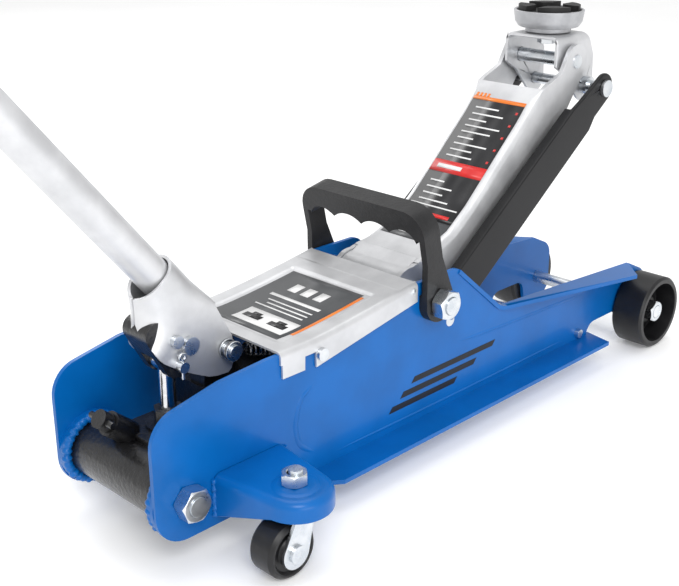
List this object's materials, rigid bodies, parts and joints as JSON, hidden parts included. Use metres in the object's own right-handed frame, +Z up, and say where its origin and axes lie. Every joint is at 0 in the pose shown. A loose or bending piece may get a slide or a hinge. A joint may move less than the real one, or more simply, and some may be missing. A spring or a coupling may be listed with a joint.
{
  "type": "hydraulic trolley jack",
  "caption": "Compact hydraulic trolley jack with a link-levelled lifting arm, round saddle, hand pump, casters and a folding carry handle.",
  "frame": {"origin": "on the floor, midway along the whole length and on the centre plane", "axes": "+X forward towards the saddle and front wheels, +Y to the left, +Z up"},
  "size_m": [0.886, 0.266, 0.585],
  "materials": {
    "blue_paint": "glossy blue paint",
    "silver_paint": "satin silver paint",
    "black_paint": "semi-gloss black paint",
    "black_casting": "rough black enamel over cast iron",
    "zinc": "bright zinc plate",
    "polished_rod": "ground and polished",
    "spring_steel": "oiled black spring wire",
    "wheel_nylon": "moulded black nylon",
    "black_plastic": "fine-grained black plastic",
    "black_rubber": "matt black rubber"
  },
  "bodies": {
    "frame": {"side_plate_right": "blue_paint", "side_plate_left": "blue_paint", "caster_bracket_right": "blue_paint", "caster_bracket_left": "blue_paint", "front_axle": "zinc", "front_axle_nuts": "zinc", "cross_rod": "zinc", "pump_block": "black_casting", "trunnion_bolts": "zinc", "trunnion_nuts": "zinc", "ram_cylinder": "black_casting", "cylinder_cap": "black_casting", "pump_gland": "black_casting", "filler_plug": "black_rubber", "fulcrum_pin": "zinc", "fulcrum_clips": "zinc", "top_cover": "silver_paint", "cover_screws": "zinc", "arm_shaft": "zinc", "arm_shaft_nuts": "zinc", "link_anchor_pins": "zinc", "caster_bolts": "zinc", "caster_nuts": "zinc", "return_spring_right": "spring_steel", "return_spring_left": "spring_steel"},
    "ram_assembly": {"ram": "polished_rod", "ram_head": "black_casting", "spring_pin": "zinc"},
    "arm": {"lift_arm": "silver_paint", "arm_hub": "silver_paint", "crank_pin": "polished_rod"},
    "parallel_link": {"link": "black_paint"},
    "saddle_mount": {"saddle_bracket": "silver_paint", "bracket_pin": "zinc", "link_top_pin": "zinc", "link_top_clips": "zinc"},
    "saddle_head": {"saddle": "silver_paint", "saddle_pad": "black_rubber", "saddle_bolt": "zinc"},
    "pump_handle_socket": {"handle_socket": "silver_paint", "pump_lever": "black_casting", "plunger_pin": "zinc", "plunger_cotter": "zinc", "socket_bolts": "zinc"},
    "pump_plunger": {"plunger": "polished_rod"},
    "release_valve_screw": {"release_valve": "black_casting", "valve_cross_pin": "black_casting"},
    "handle": {"handle_lower": "silver_paint", "handle_upper": "silver_paint", "handle_grip": "black_rubber"},
    "button": {"handle_button": "zinc"},
    "wheel_right": {"front_wheel_right": "wheel_nylon"},
    "wheel_left": {"front_wheel_left": "wheel_nylon"},
    "caster_right": {"caster_fork_right": "zinc", "caster_axle_right": "zinc"},
    "caster_left": {"caster_fork_left": "zinc", "caster_axle_left": "zinc"},
    "caster_roller_right": {"caster_wheel_right": "wheel_nylon"},
    "caster_roller_left": {"caster_wheel_left": "wheel_nylon"},
    "carrier": {"carry_handle": "black_plastic"}
  },
  "joints": [
    {"name": "arm_lift", "type": "hinge", "parent": "frame", "child": "arm", "pos_m": [0.104, 0, 0.125], "axis": [0, -1, 0], "range_deg": [-43, 18]},
    {"name": "link_swing", "type": "hinge", "parent": "frame", "child": "parallel_link", "pos_m": [0.1275, 0, 0.1005], "axis": [0, -1, 0], "range_deg": [-43, 18]},
    {"name": "saddle_level", "type": "hinge", "parent": "arm", "child": "saddle_mount", "pos_m": [0.3192, 0, 0.28135], "axis": [0, -1, 0], "range_deg": [-18, 43]},
    {"name": "saddle_spin", "type": "hinge", "parent": "saddle_mount", "child": "saddle_head", "pos_m": [0.3227, 0, 0.30415], "axis": [0, 0, 1], "continuous": true},
    {"name": "ram_slide", "type": "slide", "parent": "frame", "child": "ram_assembly", "axis": [1, 0, 0], "range_m": [-0.0288, 0.0122], "deforming": ["return_spring_right", "return_spring_left"]},
    {"name": "handle_pump", "type": "hinge", "parent": "frame", "child": "pump_handle_socket", "pos_m": [-0.071, 0, 0.126], "axis": [0, -1, 0], "range_deg": [-15, 30]},
    {"name": "plunger_slide", "type": "slide", "parent": "frame", "child": "pump_plunger", "axis": [0, 0, -1], "range_m": [-0.0106, 0.0212]},
    {"name": "handle_pull", "type": "slide", "parent": "pump_handle_socket", "child": "handle", "axis": [-0.6293, 0, 0.7771], "range_m": [0, 0.055]},
    {"name": "button_press", "type": "slide", "parent": "handle", "child": "button", "axis": [-0.7771, 0, -0.6293], "range_m": [0, 0.0028], "stiffness_N_per_m": 600, "springref_m": -0.001},
    {"name": "valve_turn", "type": "hinge", "parent": "frame", "child": "release_valve_screw", "pos_m": [-0.158, 0.012, 0.09], "axis": [-0.766, 0, 0.6428], "range_deg": [0, 180]},
    {"name": "front_wheel_spin_right", "type": "hinge", "parent": "frame", "child": "wheel_right", "pos_m": [0.408, -0.075, 0.035], "axis": [0, 1, 0], "continuous": true},
    {"name": "front_wheel_spin_left", "type": "hinge", "parent": "frame", "child": "wheel_left", "pos_m": [0.408, 0.075, 0.035], "axis": [0, 1, 0], "continuous": true},
    {"name": "caster_swivel_right", "type": "hinge", "parent": "frame", "child": "caster_right", "pos_m": [-0.091, -0.1075, 0.05], "axis": [0, 0, 1], "continuous": true},
    {"name": "caster_swivel_left", "type": "hinge", "parent": "frame", "child": "caster_left", "pos_m": [-0.091, 0.1075, 0.05], "axis": [0, 0, 1], "continuous": true},
    {"name": "caster_spin_right", "type": "hinge", "parent": "caster_right", "child": "caster_roller_right", "pos_m": [-0.1045, -0.1075, 0.0208], "axis": [0, 1, 0], "continuous": true},
    {"name": "caster_spin_left", "type": "hinge", "parent": "caster_left", "child": "caster_roller_left", "pos_m": [-0.1045, 0.1075, 0.0208], "axis": [0, 1, 0], "continuous": true},
    {"name": "carry_fold", "type": "hinge", "parent": "frame", "child": "carrier", "pos_m": [0.104, 0, 0.125], "axis": [0, 1, 0], "range_deg": [-48, 15]}
  ],
  "couplings": [
    {"joint": "link_swing", "follows": "arm_lift", "ratio": 1},
    {"joint": "saddle_level", "follows": "arm_lift", "ratio": -1},
    {"joint": "ram_slide", "follows": "arm_lift", "m_per_rad": 0.0382},
    {"joint": "plunger_slide", "follows": "handle_pump", "m_per_rad": 0.040047}
  ]
}
